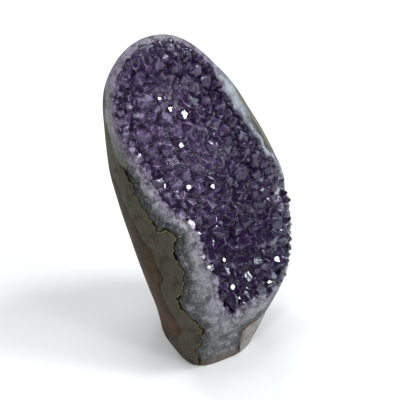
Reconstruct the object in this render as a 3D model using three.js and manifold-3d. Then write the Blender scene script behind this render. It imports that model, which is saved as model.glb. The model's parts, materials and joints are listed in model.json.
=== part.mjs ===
// An amethyst druse: a free-standing piece cut from the wall of a geode.
// Its back and sides are ground and polished. Behind is the host basalt, before that lies a band of
// grey agate and quartz, and on that grows the crust of amethyst points, which leans back and faces
// -Y. Millimetres, +Z up. The sawn foot lies on z = 0, with the origin near its middle.

import * as THREE from "three";
import { mergeVertices } from "three/addons/utils/BufferGeometryUtils.js";
import Module from "manifold-3d";

const wasm = await Module();
wasm.setup();

// Driving sizes of the stone.
const HEIGHT = 150;
const DOME_START = 116; // height where the skin starts to close over the top
const DOME_ROUNDNESS = 2.2;
const BACK_ROUNDNESS = 2.3; // superellipse exponent of the rear half of every section
const WIDEST_AT = 0.45; // where a section is widest, as a share of its depth
const SKIN_ROWS = 22;
const SKIN_COLUMNS = 36;

// The section at eight heights: how far it reaches to each side, and how square its front corners
// are, from 2 for an ellipse upwards.
const STATIONS = [
  { z: 0, left: -21.5, right: 25, front: -23, back: 28, cornerL: 4.4, cornerR: 1.75 },
  { z: 18, left: -24.5, right: 31, front: -26.5, back: 34.5, cornerL: 3.2, cornerR: 2.15 },
  { z: 38, left: -29.5, right: 42.6, front: -27, back: 40.5, cornerL: 2.7, cornerR: 2.3 },
  { z: 62, left: -34, right: 50.3, front: -19, back: 46, cornerL: 2.6, cornerR: 2.3 },
  { z: 90, left: -38, right: 43.3, front: -5.5, back: 47.5, cornerL: 2.7, cornerR: 2.4 },
  { z: 114, left: -37.5, right: 32.5, front: 8, back: 46, cornerL: 2.7, cornerR: 2.3 },
  { z: 134, left: -37.5, right: 22, front: 19.5, back: 42, cornerL: 2.7, cornerR: 2.3 },
  { z: HEIGHT, left: -36, right: 17, front: 29.5, back: 38, cornerL: 2.7, cornerR: 2.3 },
];

// Broad flats left by the grinding wheel, as degrees round the stone from +X, degrees of upward
// tilt, and distance from the origin.
const FLATS = [
  { turn: 217, tilt: 3, distance: 31 },
  { turn: 118, tilt: -5, distance: 39.6 },
  { turn: 62, tilt: -7, distance: 42.4 },
  { turn: 20, tilt: -14, distance: 36.3 },
];
const FLAT_SOFTNESS = 1.2; // how gently a flat runs into the round skin

// Where basalt meets agate, and agate meets amethyst, seen from the front, as x and z, clockwise.
// Where a line runs outside the stone, the depths below part the layers instead.
const SEAM_LINE = [
  [-14, 170], [30, 160], [60, 120], [66, 66], [56, 46], [38, 32], [23, 25], [13, 20.5], [5.5, 19],
  [3, 14], [4.5, 5], [3, -8], [-17.5, -8], [-17.5, 5], [-19, 12], [-17, 16], [-18, 21], [-17, 25],
  [-20, 30], [-23, 34], [-25, 40], [-23, 46], [-22.5, 52], [-22, 56], [-24, 61], [-24.5, 67],
  [-23, 71.5], [-25, 75], [-28.5, 74], [-31.5, 81], [-34, 87.5], [-35.5, 96], [-40, 108], [-50, 130],
];
const AMETHYST_LINE = [
  [-22, 145], [-13, 148], [-4, 148], [4, 145], [10, 140.5], [16, 132], [21, 122], [25, 112],
  [32.5, 102], [41, 93], [51, 83], [56, 66], [52, 52], [42, 41], [30, 33], [19, 30], [12, 31],
  [7, 30.5], [2, 27.5], [-3, 26.5], [-8, 31], [-11.5, 40], [-13, 52], [-15.5, 66], [-18, 74],
  [-25, 80], [-29, 86], [-32.5, 96], [-35, 105], [-36.5, 116], [-35.5, 127], [-30, 138],
];
const SEAM_DEPTH = 16; // behind the front of the section
const SEAM_DEPTH_RIGHT = 9.5;
const SEAM_DEPTH_TOP = 12;
const AMETHYST_DEPTH = 12;
const AMETHYST_DEPTH_TOP = 4;
const AGATE_LEAST = 3; // thickness of the agate where the basalt comes close
const CROWN = HEIGHT - 5; // from here up the layers are at their depth for the top
// Low on the right the layers turn the corner.
const WRAP = { depth: 20, height: 60, halfSpan: 38, startX: 8, endX: 42 };
const JOINT_GAP = 0.3; // open joint between neighbouring layers

// The crust of crystals.
const CRUST_DEPTH = 5.4; // of the agate floor below the skin
const ROOT_THICKNESS = 1.4;
const ROOT_LENGTH = 2.5; // of a crystal below its seat
const LID_RISE = 4; // how far tips may stand proud of the polished skin, away from the rim
const LID_RIM = 5; // width of the rim over which they come up to that
const RIM_GROWTH = 2.5; // crystals at the rim are this much longer, and ground level with the skin
// High on the right side, between these places, the tips come to be ground level with the skin too.
const GROUND_SIDE = { startX: 20, endX: 34, startZ: 58, endZ: 66 };
const FLOOR_ROWS = 10;
const FLOOR_COLUMNS = 22;

// Crystals that are set by hand: degrees round the stone, height, radius across the corners.
const LARGE_CRYSTALS = [
  [269, 120, 3.6], [260, 123.5, 2.9], [257, 109, 3], [252, 92, 3], [268, 90, 2.8], [256, 129, 3.8],
  [246, 133, 3.2], [293, 128, 4.4], [284, 138, 4], [239, 136, 3.8], [259, 44, 3.6], [271, 41, 4.6],
  [282, 52, 4.2], [304, 47, 4.8], [297, 37, 4.2], [266, 28, 4.4], [251, 34, 4], [320, 60, 4.2],
  [321, 50, 4.4], [313, 42, 4.6], [254, 57, 3.6], [330, 71, 4.2], [326, 41.5, 4.2], [338, 73, 3.8],
  [336, 65.5, 3.8],
];
// The rest is thrown at random, in three sizes.
const CRYSTAL_SIZES = [
  { tries: 120, least: 4.4, most: 5.0 },
  { tries: 700, least: 3.8, most: 4.3 },
  { tries: 2400, least: 3.3, most: 3.7 },
];
const CRYSTAL_SPACING = 0.71; // least distance between two, over the sum of their radii
const CRYSTAL_SLOPE = 1.27; // height of a pyramid over the radius across its corners
const MOST_TILT = 0.5; // radians from the skin's normal
const MOST_LEAN = 0.34; // of a tip off the middle, as a share of the radius
const SHOULDERS = [0.2, 1.4]; // height of the six-sided prism above the seat
const SEED = 20011;

const { clamp, degToRad, lerp, smoothstep } = THREE.MathUtils;

// Numbers that are the same on every run.
let state = SEED;
function draw(low, high) {
  state = (state * 16807) % 2147483647;
  return low + ((high - low) * state) / 2147483647;
}

// A size of the section at a height, on a smooth curve through the stations.
function sectionAt(z, key) {
  const last = STATIONS.length - 1;
  const i = clamp(STATIONS.findLastIndex((s) => s.z <= z), 0, last - 1);
  const slope = (k) => {
    const [below, above] = [STATIONS[Math.max(k - 1, 0)], STATIONS[Math.min(k + 1, last)]];
    return (above[key] - below[key]) / (above.z - below.z);
  };
  const step = STATIONS[i + 1].z - STATIONS[i].z;
  const f = clamp((z - STATIONS[i].z) / step, 0, 1);
  const rise = f * f * (3 - 2 * f);
  const ends = STATIONS[i][key] * (1 - rise) + STATIONS[i + 1][key] * rise;
  return ends + step * f * (1 - f) * (slope(i) * (1 - f) - slope(i + 1) * f);
}

// How far the dome has closed at a height: 1 below it, 0 at the very top.
function domeAt(z) {
  return (1 - clamp((z - DOME_START) / (HEIGHT - DOME_START), 0, 1) ** DOME_ROUNDNESS) ** (1 / DOME_ROUNDNESS);
}

// Draws a point of the skin level with the flats, at its own height.
function grindFlats(p) {
  for (const { turn, tilt, distance } of FLATS) {
    const level = new THREE.Vector3(Math.cos(degToRad(turn)), Math.sin(degToRad(turn)), 0);
    const excess = p.dot(level) + p.z * Math.tan(degToRad(tilt)) - distance;
    p.addScaledVector(level, -(excess + Math.hypot(excess, FLAT_SOFTNESS)) / 2);
  }
  return p;
}

// A point of the polished skin: angle 0 is to the right, a quarter turn is the back.
function skinPoint(angle, z) {
  const [left, right, front, back] = ["left", "right", "front", "back"].map((key) => sectionAt(z, key));
  const middleY = front + (back - front) * WIDEST_AT;
  const [c, s] = [Math.cos(angle), Math.sin(angle)];
  const power = s > 0 ? BACK_ROUNDNESS : sectionAt(z, c < 0 ? "cornerL" : "cornerR");
  const reach = domeAt(z) * (Math.abs(c) ** power + Math.abs(s) ** power) ** (-1 / power);
  const x = (left + right) / 2 + (c * reach * (right - left)) / 2;
  const y = middleY + s * reach * (s > 0 ? back - middleY : middleY - front);
  return grindFlats(new THREE.Vector3(x, y, z));
}

function skinNormal(angle, z) {
  const step = 0.02;
  const round = skinPoint(angle + step, z).sub(skinPoint(angle - step, z));
  const up = skinPoint(angle, Math.min(z + step, HEIGHT)).sub(skinPoint(angle, z - step));
  return round.cross(up).normalize();
}

const curveOf = (line) =>
  new THREE.CatmullRomCurve3(line.map(([x, z]) => new THREE.Vector3(x, z, 0)), true, "centripetal");
const amethystEdge = curveOf(AMETHYST_LINE).getPoints(120);

// How far a point is inside the amethyst's line, as seen from the front, and negative outside it.
function depthInAmethyst(p) {
  let inside = false;
  let nearest = Infinity;
  amethystEdge.forEach((a, i) => {
    const b = amethystEdge[(i + 1) % amethystEdge.length];
    nearest = Math.min(nearest, Math.hypot(a.x - p.x, a.y - p.z));
    if (a.y > p.z !== b.y > p.z && p.x < a.x + ((b.x - a.x) * (p.z - a.y)) / (b.y - a.y)) inside = !inside;
  });
  return inside ? nearest : -nearest;
}

// The y of the surfaces where basalt meets agate and agate meets amethyst.
function wrapAt(x, z) {
  const near = Math.max(1 - ((z - WRAP.height) / WRAP.halfSpan) ** 2, 0) ** 2;
  return WRAP.depth * near * smoothstep(x, WRAP.startX, WRAP.endX);
}
function seamAt(x, z) {
  const side = lerp(SEAM_DEPTH, SEAM_DEPTH_RIGHT, smoothstep(x, 0, 30));
  const depth = lerp(side, SEAM_DEPTH_TOP, smoothstep(z, DOME_START, CROWN));
  const wave = 1.1 * Math.sin(0.31 * x + 0.17 * z) + 0.7 * Math.sin(0.47 * z - 0.23 * x);
  return sectionAt(z, "front") + depth + wrapAt(x, z) + wave;
}
function amethystAt(x, z) {
  const depth = lerp(AMETHYST_DEPTH, AMETHYST_DEPTH_TOP, smoothstep(z, DOME_START, CROWN));
  const own = sectionAt(z, "front") + depth + wrapAt(x, z);
  return Math.min(own, seamAt(x, z) - AGATE_LEAST);
}

// How far a point of the skin is inside the patch of amethyst, and negative outside it.
const depthInCrust = (p) => Math.min(depthInAmethyst(p), amethystAt(p.x, p.z) - p.y);

// A closed solid from a geometry, with its shared vertices merged.
function solidOf(geometry) {
  ["normal", "uv"].forEach((name) => geometry.deleteAttribute(name));
  const merged = mergeVertices(geometry, 1e-4);
  return new wasm.Manifold(
    new wasm.Mesh({
      numProp: 3,
      vertProperties: new Float32Array(merged.attributes.position.array),
      triVerts: new Uint32Array(merged.index.array),
    }),
  );
}

function moveVertices(geometry, move) {
  const position = geometry.attributes.position;
  for (let i = 0; i < position.count; i++) {
    const p = move(new THREE.Vector3().fromBufferAttribute(position, i));
    position.setXYZ(i, p.x, p.y, p.z);
  }
  return geometry;
}

// The whole stone, or a form that lies off its skin by the distance that shift gives, outwards.
function loft(rows, columns, shift = () => 0) {
  const profile = [[0, 0], [1, 0]];
  for (let row = 1; row < rows; row++) profile.push([1, HEIGHT * Math.sin(((row / rows) * Math.PI) / 2)]);
  profile.push([0, HEIGHT]);
  const barrel = new THREE.LatheGeometry(profile.map(([r, z]) => new THREE.Vector2(r, z)), columns);
  const bend = (v) => {
    if (v.x === 0 && v.z === 0 && v.y === 0) return new THREE.Vector3();
    if (Math.hypot(v.x, v.z) < 0.5) return skinPoint(0, HEIGHT);
    const angle = Math.atan2(-v.z, v.x);
    const p = skinPoint(angle, v.y);
    return v.y === 0 ? p : p.addScaledVector(skinNormal(angle, v.y), shift(p, angle));
  };
  return solidOf(moveVertices(barrel, bend));
}

// Everything in front of a surface and inside a line, as seen from the front, drawn in by a gap.
function frontLayer(line, surface, gap, points) {
  const reach = 80;
  const curve = curveOf(line);
  const outline = curve.getSpacedPoints(points).slice(0, points).map((p, i) => {
    const along = curve.getTangentAt(i / points);
    return new THREE.Vector2(p.x + along.y * gap, p.y - along.x * gap);
  });
  const prism = new THREE.ExtrudeGeometry(new THREE.Shape(outline), { depth: 2 * reach, bevelEnabled: false });
  prism.rotateX(Math.PI / 2).translate(0, reach, 0);
  const block = new THREE.BoxGeometry(2 * reach, 2, 190, 16, 1, 18).translate(0, 0, HEIGHT / 2);
  moveVertices(block, (v) => v.setY(v.y < 0 ? -reach : surface(v.x, v.z) - gap));
  return solidOf(prism).intersect(solidOf(block));
}

const stone = loft(SKIN_ROWS, SKIN_COLUMNS);
const agateLayer = (gap) => frontLayer(SEAM_LINE, seamAt, gap, 70);
const amethystLayer = (gap) => frontLayer(AMETHYST_LINE, amethystAt, gap, 36);

// The depth of the agate floor under the crystals, which runs out to the skin at the crown.
const floorDepth = (z) => CRUST_DEPTH * domeAt(z) ** 1.5;

// A form whose front is the agate floor, raised by a thickness.
function floorForm(raised = 0) {
  const shift = (p, angle) => raised - floorDepth(p.z) * smoothstep(-Math.sin(angle), -0.6, -0.1);
  return loft(FLOOR_ROWS, FLOOR_COLUMNS, shift);
}

// Seats on the agate floor: the crystals set by hand first, then the large ones.
function crystalSeats() {
  const seats = [];
  const seat = (angle, z, radius, always) => {
    const skin = skinPoint(angle, z);
    const [tilt, towards, spin] = [draw(0, MOST_TILT), draw(0, 2 * Math.PI), draw(0, Math.PI / 3)];
    const [lean, shoulder] = [draw(-MOST_LEAN, MOST_LEAN), draw(...SHOULDERS)];
    const margin = depthInCrust(skin);
    if (!always && margin < -1) return;
    const normal = skinNormal(angle, z);
    const at = skin.clone().addScaledVector(normal, -floorDepth(z));
    const room = seats.every((s) => s.at.distanceTo(at) > CRYSTAL_SPACING * (s.radius + radius));
    const rim = RIM_GROWTH * (1 - smoothstep(margin, 1, LID_RIM));
    if (always || room) seats.push({ at, normal, radius, tilt, towards, spin, lean, shoulder: shoulder + rim });
  };
  LARGE_CRYSTALS.forEach(([degrees, z, radius]) => seat(degToRad(degrees), z, radius, true));
  for (const { tries, least, most } of CRYSTAL_SIZES) {
    for (let i = 0; i < tries; i++) {
      seat(draw(Math.PI * 0.93, Math.PI * 2.1), draw(24, HEIGHT - 0.5), draw(least, most), false);
    }
  }
  return seats;
}

// One crystal: a short six-sided prism under a pyramid whose tip sits off the middle.
function crystal({ at, normal, radius, tilt, towards, spin, lean, shoulder }) {
  const tip = shoulder + radius * CRYSTAL_SLOPE;
  const profile = [[0, -ROOT_LENGTH], [radius, -ROOT_LENGTH], [radius, shoulder], [0, tip]];
  const points = new THREE.LatheGeometry(profile.map(([r, y]) => new THREE.Vector2(r, y)), 6);
  moveVertices(points, (v) => (v.y > shoulder + 0.1 ? v.setX(v.x + lean * radius) : v));
  const upright = new THREE.Vector3(0, 1, 0);
  const tiltAxis = new THREE.Vector3(1, 0, 0).cross(normal).normalize().applyAxisAngle(normal, towards);
  const turn = new THREE.Quaternion().setFromUnitVectors(upright, normal.clone().applyAxisAngle(tiltAxis, tilt));
  turn.multiply(new THREE.Quaternion().setFromAxisAngle(upright, spin));
  points.applyMatrix4(new THREE.Matrix4().compose(at, turn, new THREE.Vector3(1, 1, 1)));
  return solidOf(points);
}

function basaltMatrix() {
  return stone.subtract(agateLayer(0));
}

function agateBand() {
  const well = amethystLayer(0).subtract(floorForm());
  return stone.intersect(agateLayer(JOINT_GAP)).subtract(well);
}

// How far tips may stand proud of a point of the skin.
function tipRise(p) {
  const { startX, endX, startZ, endZ } = GROUND_SIDE;
  const ground = smoothstep(p.x, startX, endX) * smoothstep(p.z, startZ, endZ);
  return LID_RISE * smoothstep(depthInCrust(p), 0, LID_RIM) * (1 - ground);
}

function amethystCrystals() {
  const roots = floorForm(JOINT_GAP + ROOT_THICKNESS);
  const grown = wasm.Manifold.union([roots, ...crystalSeats().map(crystal)]);
  const lid = loft(SKIN_ROWS, SKIN_COLUMNS, tipRise);
  const crust = grown.intersect(lid).intersect(amethystLayer(JOINT_GAP)).subtract(floorForm(JOINT_GAP));
  return crust.decompose().sort((a, b) => b.volume() - a.volume())[0];
}

function meshOf(name, solid, material) {
  const made = solid.getMesh();
  const geometry = new THREE.BufferGeometry();
  geometry.setAttribute("position", new THREE.BufferAttribute(new Float32Array(made.vertProperties), 3));
  geometry.setIndex(new THREE.BufferAttribute(new Uint32Array(made.triVerts), 1));
  const mesh = new THREE.Mesh(geometry, new THREE.MeshStandardMaterial(material));
  mesh.name = name;
  return mesh;
}

const druse = new THREE.Group();
druse.add(
  meshOf("basalt_matrix", basaltMatrix(), { color: 0x4a453d, roughness: 0.42, metalness: 0 }),
  meshOf("agate_band", agateBand(), { color: 0x8b8e92, roughness: 0.35, metalness: 0 }),
  meshOf("amethyst_crystals", amethystCrystals(), { color: 0x4c3566, roughness: 0.15, metalness: 0 }),
);

export default druse;
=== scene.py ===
# An amethyst druse: a free-standing polished piece cut from the wall of a geode. Behind is the host
# basalt, before it lies a band of cloudy agate and quartz, and on that grows the crust of amethyst.
# Lengths are in millimetres, as measured on the stone, and MM turns them into metres.

import json
import math

import bpy
import numpy as np
from mathutils import Matrix, Quaternion, Vector
from mathutils.kdtree import KDTree

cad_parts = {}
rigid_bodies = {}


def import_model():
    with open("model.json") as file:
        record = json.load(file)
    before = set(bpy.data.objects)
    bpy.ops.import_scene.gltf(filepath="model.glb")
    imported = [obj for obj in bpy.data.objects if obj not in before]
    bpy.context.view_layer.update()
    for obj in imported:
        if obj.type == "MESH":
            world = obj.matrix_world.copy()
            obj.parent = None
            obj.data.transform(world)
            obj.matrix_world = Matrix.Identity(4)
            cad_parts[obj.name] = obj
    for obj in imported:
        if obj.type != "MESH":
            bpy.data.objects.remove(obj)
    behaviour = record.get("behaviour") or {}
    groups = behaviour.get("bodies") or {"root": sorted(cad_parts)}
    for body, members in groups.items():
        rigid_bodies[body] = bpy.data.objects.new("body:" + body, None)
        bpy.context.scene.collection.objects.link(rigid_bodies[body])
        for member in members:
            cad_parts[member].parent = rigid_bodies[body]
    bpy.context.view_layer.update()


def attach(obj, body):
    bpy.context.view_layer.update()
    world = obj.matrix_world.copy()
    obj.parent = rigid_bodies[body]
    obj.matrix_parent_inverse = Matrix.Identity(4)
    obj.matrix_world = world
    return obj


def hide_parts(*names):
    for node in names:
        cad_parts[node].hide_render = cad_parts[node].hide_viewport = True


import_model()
MM = 0.001

# The camera
# It looks down on the crystals from the left, as in the photograph: 33 degrees above the stone and
# 30 degrees to its left, through a lens of 75 mm.
CAMERA_TURN = math.radians(-30)
CAMERA_RISE = math.radians(33)
CAMERA_DISTANCE = 392.5
CAMERA_TARGET = Vector((0, 8, 74.8))
CAMERA_LENS, CAMERA_SENSOR = 75, 36

camera_data = bpy.data.cameras.new("camera")
camera_data.lens = CAMERA_LENS
camera_data.sensor_width = CAMERA_SENSOR
camera = bpy.data.objects.new("camera", camera_data)
bpy.context.collection.objects.link(camera)
level_back = Vector((math.sin(CAMERA_TURN), -math.cos(CAMERA_TURN), 0))
towards_camera = level_back * math.cos(CAMERA_RISE) + Vector((0, 0, math.sin(CAMERA_RISE)))
camera_place = CAMERA_TARGET + towards_camera * CAMERA_DISTANCE
camera.location = camera_place * MM
camera.rotation_euler = towards_camera.to_track_quat("Z", "Y").to_euler()
bpy.context.scene.camera = camera

# Basalt matrix
# The grey-brown host rock, which is the back, the left flank and most of the foot. It is sawn flat
# below and ground and polished all round, with broad soft flats left by the grinding wheel.
HEIGHT = 150
DOME_START = 116
DOME_ROUNDNESS = 2.2
BACK_ROUNDNESS = 2.3
WIDEST_AT = 0.45
SECTIONS = {
    "height": [0, 18, 38, 62, 90, 114, 134, HEIGHT],
    "left": [-21.5, -24.5, -29.5, -34, -38, -37.5, -37.5, -36],
    "right": [25, 31, 42.6, 50.3, 43.3, 32.5, 22, 17],
    "front": [-23, -26.5, -27, -19, -5.5, 8, 19.5, 29.5],
    "back": [28, 34.5, 40.5, 46, 47.5, 46, 42, 38],
    "corner_left": [4.4, 3.2, 2.7, 2.6, 2.7, 2.7, 2.7, 2.7],
    "corner_right": [1.75, 2.15, 2.3, 2.3, 2.4, 2.3, 2.3, 2.3],
}
FLATS = [(217, 3, 31), (118, -5, 39.6), (62, -7, 42.4), (20, -14, 36.3)]  # turn, tilt, distance
FLAT_SOFTNESS = 1.2
FOOT_EDGE = 0.7  # radius of the rounded edge round the foot
GROUND_OFF = 0.22  # what grinding by hand took off the skin, unevenly
STONE_ROWS, STONE_COLUMNS = 230, 330  # of faces, up the skin and round it


def smooth(value, low, high):
    """0 below one value, 1 above another, and smooth between them."""
    share = np.clip((value - low) / (high - low), 0, 1)
    return share * share * (3 - 2 * share)


def section(z, name):
    """A size of the stone's section at a height, on a smooth curve through the measured ones."""
    heights, sizes = np.array(SECTIONS["height"], float), np.array(SECTIONS[name], float)
    last = len(heights) - 1
    below = np.maximum(np.arange(last + 1) - 1, 0)
    above = np.minimum(np.arange(last + 1) + 1, last)
    slope = (sizes[above] - sizes[below]) / (heights[above] - heights[below])
    i = np.clip(np.searchsorted(heights, z, side="right") - 1, 0, last - 1)
    step = heights[i + 1] - heights[i]
    f = np.clip((z - heights[i]) / step, 0, 1)
    rise = f * f * (3 - 2 * f)
    ends = sizes[i] * (1 - rise) + sizes[i + 1] * rise
    return ends + step * f * (1 - f) * (slope[i] * (1 - f) - slope[i + 1] * f)


def dome(z):
    """How far the dome has closed at a height: 1 below it and 0 at the very top."""
    closing = np.clip((z - DOME_START) / (HEIGHT - DOME_START), 0, 1)
    return (1 - closing ** DOME_ROUNDNESS) ** (1 / DOME_ROUNDNESS)


def skin(angle, z):
    """Points of the polished skin: angle 0 is to the right, a quarter turn is the back."""
    left, right, front, back = (section(z, name) for name in ("left", "right", "front", "back"))
    middle = front + (back - front) * WIDEST_AT
    c, s = np.cos(angle), np.sin(angle)
    corner = np.where(c < 0, section(z, "corner_left"), section(z, "corner_right"))
    power = np.where(s > 0, BACK_ROUNDNESS, corner)
    reach = dome(z) * (np.abs(c) ** power + np.abs(s) ** power) ** (-1 / power)
    x = (left + right) / 2 + c * reach * (right - left) / 2
    y = middle + s * reach * np.where(s > 0, back - middle, middle - front)
    points = np.stack([x, y, z + 0 * x], axis=-1)
    for turn, tilt, distance in FLATS:
        level = np.array([math.cos(math.radians(turn)), math.sin(math.radians(turn)), 0])
        excess = points @ level + points[..., 2] * math.tan(math.radians(tilt)) - distance
        points = points - level * ((excess + np.hypot(excess, FLAT_SOFTNESS)) / 2)[..., None]
    return points


def skin_normal(angle, z):
    """The way out of the stone at places of the skin."""
    step = 0.02
    round_it = skin(angle + step, z) - skin(angle - step, z)
    up_it = skin(angle, np.minimum(z + step, HEIGHT)) - skin(angle, z - step)
    normal = np.cross(round_it, up_it)
    return normal / np.maximum(np.linalg.norm(normal, axis=-1, keepdims=True), 1e-12)


def start(add, **settings):
    """Adds a primitive with nothing else selected."""
    bpy.ops.object.select_all(action="DESELECT")
    add(**settings)
    return bpy.context.object


def pick(piece):
    """Selects one piece and nothing else."""
    bpy.ops.object.select_all(action="DESELECT")
    piece.select_set(True)
    bpy.context.view_layer.objects.active = piece


def get_points(piece):
    """The corner points of a piece, one to a row."""
    points = np.empty(len(piece.data.vertices) * 3)
    piece.data.vertices.foreach_get("co", points)
    return points.reshape(-1, 3)


def set_points(piece, points):
    """Moves the corner points of a piece."""
    piece.data.vertices.foreach_set("co", np.ascontiguousarray(points, dtype=np.float64).ravel())
    piece.data.update()


def face_marks(piece, name, value):
    """Gives the faces of a piece a whole number each, or all the same one."""
    marks = piece.data.attributes.new(name, "INT", "FACE")
    marks.data.foreach_set("value", np.full(len(piece.data.polygons), value))


def stone_form(rows, columns, shift, mark=1):
    """The whole stone, or a form of its shape, whose skin is moved outwards by what shift gives.

    A sphere's rings are laid down the skin, then round the foot's edge, then in over the foot.
    """
    edge_rings, foot_rings = 5, 4
    rings = rows + edge_rings + foot_rings
    form = start(bpy.ops.mesh.primitive_uv_sphere_add, segments=columns, ring_count=rings, radius=1)
    unit = get_points(form)
    ring = np.rint(np.arccos(np.clip(unit[:, 2], -1, 1)) / math.pi * rings)
    angle = np.arctan2(unit[:, 1], unit[:, 0])
    level = np.clip(1 - ring / rows, 0, 1)
    bend = np.clip((ring - rows) / edge_rings, 0, 1) * math.pi / 2
    z = FOOT_EDGE + (HEIGHT - FOOT_EDGE) * np.sin(level * math.pi / 2) - FOOT_EDGE * np.sin(bend)
    share = 1 - np.clip((ring - rows - edge_rings) / foot_rings, 0, 1)
    points = skin(angle, np.maximum(z, 0))
    points[ring == 0] = skin(np.array([0.0]), np.array([float(HEIGHT)]))
    normal = skin_normal(angle, np.clip(z, 0, HEIGHT))
    normal[ring == 0] = 0
    outwards = normal * [1, 1, 0]
    points = points - outwards * (FOOT_EDGE * (1 - np.cos(bend)))[:, None]
    points[:, :2] *= share[:, None]
    points = points + normal * (shift(points, angle) * (ring < rows))[:, None]
    set_points(form, points * MM)
    face_marks(form, "cut", mark)
    return form


def combine(piece, other, operation):
    """Joins to a piece, or cuts with, another one, which is used up."""
    modifier = piece.modifiers.new("combine", "BOOLEAN")
    modifier.operation = operation
    modifier.solver = "MANIFOLD"
    modifier.object = other
    bpy.context.view_layer.objects.active = piece
    bpy.ops.object.modifier_apply(modifier=modifier.name)
    bpy.data.objects.remove(other)
    return piece


# Where basalt meets agate, seen from the front, as x and z, clockwise.
SEAM_LINE = [
    (-14, 170), (30, 160), (60, 120), (66, 66), (56, 46), (38, 32), (23, 25), (13, 20.5), (5.5, 19),
    (3, 14), (4.5, 5), (3, -8), (-17.5, -8), (-17.5, 5), (-19, 12), (-17, 16), (-18, 21), (-17, 25),
    (-20, 30), (-23, 34), (-25, 40), (-23, 46), (-22.5, 52), (-22, 56), (-24, 61), (-24.5, 67),
    (-23, 71.5), (-25, 75), (-28.5, 74), (-31.5, 81), (-34, 87.5), (-35.5, 96), (-40, 108), (-50, 130),
]
SEAM_POINTS = 1100
SEAM_DEPTH, SEAM_DEPTH_RIGHT, SEAM_DEPTH_TOP = 16, 9.5, 12
CROWN = HEIGHT - 5
WRAP_DEPTH, WRAP_HEIGHT, WRAP_SPAN = 20, 60, 38
WRAP_START, WRAP_END = 8, 42
CRACK_WIDTH, CRACK_GAPE = 0.4, 1.0


def closed_curve(line, count):
    """Evenly spaced points on a smooth closed curve through a line's points, and how far along."""
    steps = 40
    p = np.array(line, float)
    before, after, beyond = np.roll(p, 1, 0), np.roll(p, -1, 0), np.roll(p, -2, 0)
    gap = [np.linalg.norm(b - a, axis=1) ** 0.5 for a, b in ((before, p), (p, after), (after, beyond))]
    gap = [g[:, None] for g in gap]
    first = (p - before) / gap[0] - (after - before) / (gap[0] + gap[1]) + (after - p) / gap[1]
    second = (after - p) / gap[1] - (beyond - p) / (gap[1] + gap[2]) + (beyond - after) / gap[2]
    first, second = first * gap[1], second * gap[1]
    t = np.linspace(0, 1, steps, endpoint=False)[None, :, None]
    a, b, u, v = (k[:, None, :] for k in (p, after, first, second))
    fine = a + u * t + (3 * (b - a) - 2 * u - v) * t ** 2 + (2 * (a - b) + u + v) * t ** 3
    fine = fine.reshape(-1, 2)
    fine = np.vstack([fine, fine[:1]])
    along = np.concatenate([[0], np.cumsum(np.linalg.norm(np.diff(fine, axis=0), axis=1))])
    places = np.linspace(0, along[-1], count, endpoint=False)
    return np.stack([np.interp(places, along, fine[:, k]) for k in range(2)], axis=1), places


def wrap(x, z):
    """How far the layers are drawn back low on the right, where they turn round the corner."""
    near = np.maximum(1 - ((z - WRAP_HEIGHT) / WRAP_SPAN) ** 2, 0) ** 2
    return WRAP_DEPTH * near * smooth(x, WRAP_START, WRAP_END)


def seam_surface(x, z):
    """The y at which basalt meets agate."""
    side = SEAM_DEPTH + (SEAM_DEPTH_RIGHT - SEAM_DEPTH) * smooth(x, 0, 30)
    depth = side + (SEAM_DEPTH_TOP - side) * smooth(z, DOME_START, CROWN)
    wave = 1.1 * np.sin(0.31 * x + 0.17 * z) + 0.7 * np.sin(0.47 * z - 0.23 * x)
    fine = 0.25 * np.sin(1.3 * z + 0.9 * x) + 0.15 * np.sin(2.9 * z - 1.7 * x)
    return section(z, "front") + depth + wrap(x, z) + wave + fine


def front_layer(line, count, surface, draw_in, mark):
    """All that lies in front of a surface and inside a line, as seen from the front."""
    reach, half_height = 80, 95
    columns, rows = 150, 170
    outline, places = closed_curve(line, count)
    ahead = np.roll(outline, -1, 0) - np.roll(outline, 1, 0)
    ahead /= np.linalg.norm(ahead, axis=1, keepdims=True)
    inwards = np.stack([ahead[:, 1], -ahead[:, 0]], axis=1)
    outline = outline + inwards * draw_in(places)[:, None]
    prism = start(bpy.ops.mesh.primitive_cylinder_add, vertices=count, end_fill_type="NGON")
    unit = get_points(prism)
    i = np.rint(np.arctan2(unit[:, 1], unit[:, 0]) / (2 * math.pi) * count).astype(int) % count
    depth = np.sign(unit[:, 2]) * reach
    set_points(prism, np.stack([outline[i, 0], depth, outline[i, 1]], axis=1) * MM)
    block = start(bpy.ops.mesh.primitive_grid_add, x_subdivisions=columns, y_subdivisions=rows, size=2)
    bpy.ops.object.mode_set(mode="EDIT")
    bpy.ops.mesh.select_all(action="SELECT")
    bpy.ops.mesh.extrude_region_move(TRANSFORM_OT_translate={"value": (0, 0, 1)})
    bpy.ops.object.mode_set(mode="OBJECT")
    unit = get_points(block)
    x, z = unit[:, 0] * reach, HEIGHT / 2 + unit[:, 1] * half_height
    y = np.where(unit[:, 2] > 0.5, surface(x, z), -reach)
    set_points(block, np.stack([x, y, z], axis=1) * MM)
    for piece in (prism, block):
        pick(piece)
        bpy.ops.object.mode_set(mode="EDIT")
        bpy.ops.mesh.select_all(action="SELECT")
        bpy.ops.mesh.normals_make_consistent(inside=False)
        bpy.ops.object.mode_set(mode="OBJECT")
        face_marks(piece, "cut", mark)
    return combine(prism, block, "INTERSECT")


def crinkle(places):
    """The fine waver of the seam's line."""
    return 0.3 * np.sin(places * 1.1) + 0.2 * np.sin(places * 2.3 + 1) + 0.08 * np.sin(places * 4.9)


def crack_width(places):
    """The dark crack along the seam, which gapes in places."""
    gape = np.sin(places * 0.23 + 0.6) * np.sin(places * 0.071 + 2.2) + 0.35 * np.sin(places * 0.9)
    return CRACK_WIDTH + CRACK_GAPE * np.clip(gape, 0, 1)


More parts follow.
